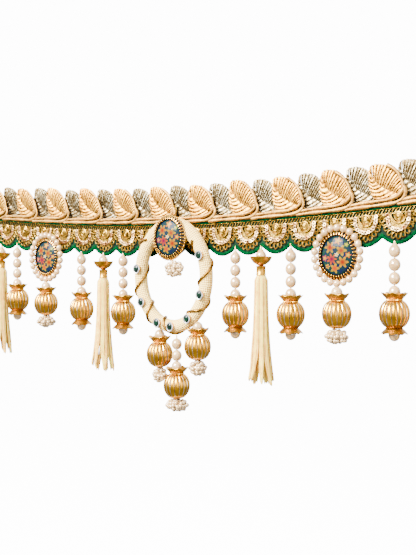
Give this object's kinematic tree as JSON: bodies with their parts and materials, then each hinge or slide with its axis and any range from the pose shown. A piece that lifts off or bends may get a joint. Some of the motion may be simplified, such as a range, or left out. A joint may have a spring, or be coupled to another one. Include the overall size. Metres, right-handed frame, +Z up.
{
  "type": "toran door hanging",
  "caption": "Door hanging band of gathered gold and silver leaves over scalloped lace, with pearl, fluted bead and tassel drops, picture medallions and a wrapped oval ring in the middle.",
  "frame": {"origin": "the band's top edge, on the backing strip's upper edge straight above the ring, at the lowest point of the sag", "axes": "+X to the viewer's right along the band, +Y to the back, towards the wall, +Z up"},
  "size_m": [0.4278, 0.0276, 0.1829],
  "materials": {
    "backing_cloth": "woven, matt, gold-beige",
    "green_satin": "satin stitch, soft sheen",
    "gold_lace": "metallised thread, semi-gloss",
    "silver_gota": "gathered metallised ribbon",
    "rose_gota": "gathered metallised ribbon",
    "pearl": "pearlescent lacquer, glossy",
    "gold_bead": "gold-coated, polished",
    "picture_dome": "clear glossy dome over a printed flower design",
    "cream_yarn": "wrapped woven ribbon, matt",
    "ivory_strand": "looped silky strands, soft sheen",
    "green_stone": "faceted green stone in a silver-coloured setting"
  },
  "bodies": {
    "root": {"backing_strip": "backing_cloth", "green_ground": "green_satin", "gold_lace": "gold_lace", "silver_leaves": "silver_gota", "gold_leaves": "rose_gota", "gota_strand_upper": "rose_gota", "gota_strand_lower": "rose_gota", "ring": "cream_yarn", "ring_cord": "gold_lace", "thread_tab": "gold_lace", "centre_bezel": "gold_bead", "centre_cabochon": "picture_dome", "centre_cluster": "pearl", "medallion_left_bezel": "gold_bead", "medallion_left_cabochon": "picture_dome", "medallion_left_pearls": "pearl", "medallion_left_string": "pearl", "medallion_left_ball": "gold_bead", "medallion_right_bezel": "gold_bead", "medallion_right_cabochon": "picture_dome", "medallion_right_pearls": "pearl", "medallion_right_string": "pearl", "medallion_right_ball": "gold_bead", "ring_string_left": "pearl", "ring_ball_left": "gold_bead", "ring_string_middle": "pearl", "ring_ball_middle": "gold_bead", "ring_string_right": "pearl", "ring_ball_right": "gold_bead", "ring_stone_1": "green_stone", "ring_stone_2": "green_stone", "ring_stone_3": "green_stone", "ring_stone_4": "green_stone", "ring_stone_5": "green_stone", "ring_stone_6": "green_stone", "ring_stone_7": "green_stone", "drop_1_string": "pearl", "drop_1_ball": "gold_bead", "drop_2_string": "pearl", "drop_2_ball": "gold_bead", "drop_3_string": "pearl", "drop_3_ball": "gold_bead", "drop_4_string": "pearl", "drop_4_ball": "gold_bead", "drop_5_string": "pearl", "drop_5_ball": "gold_bead", "drop_6_string": "pearl", "drop_6_ball": "gold_bead", "tassel_1_pearl": "pearl", "tassel_1_cup": "gold_bead", "tassel_1_skirt": "ivory_strand", "tassel_2_pearl": "pearl", "tassel_2_cup": "gold_bead", "tassel_2_skirt": "ivory_strand", "tassel_3_pearl": "pearl", "tassel_3_cup": "gold_bead", "tassel_3_skirt": "ivory_strand", "tassel_4_pearl": "pearl", "tassel_4_cup": "gold_bead", "tassel_4_skirt": "ivory_strand"}
  },
  "joints": []
}
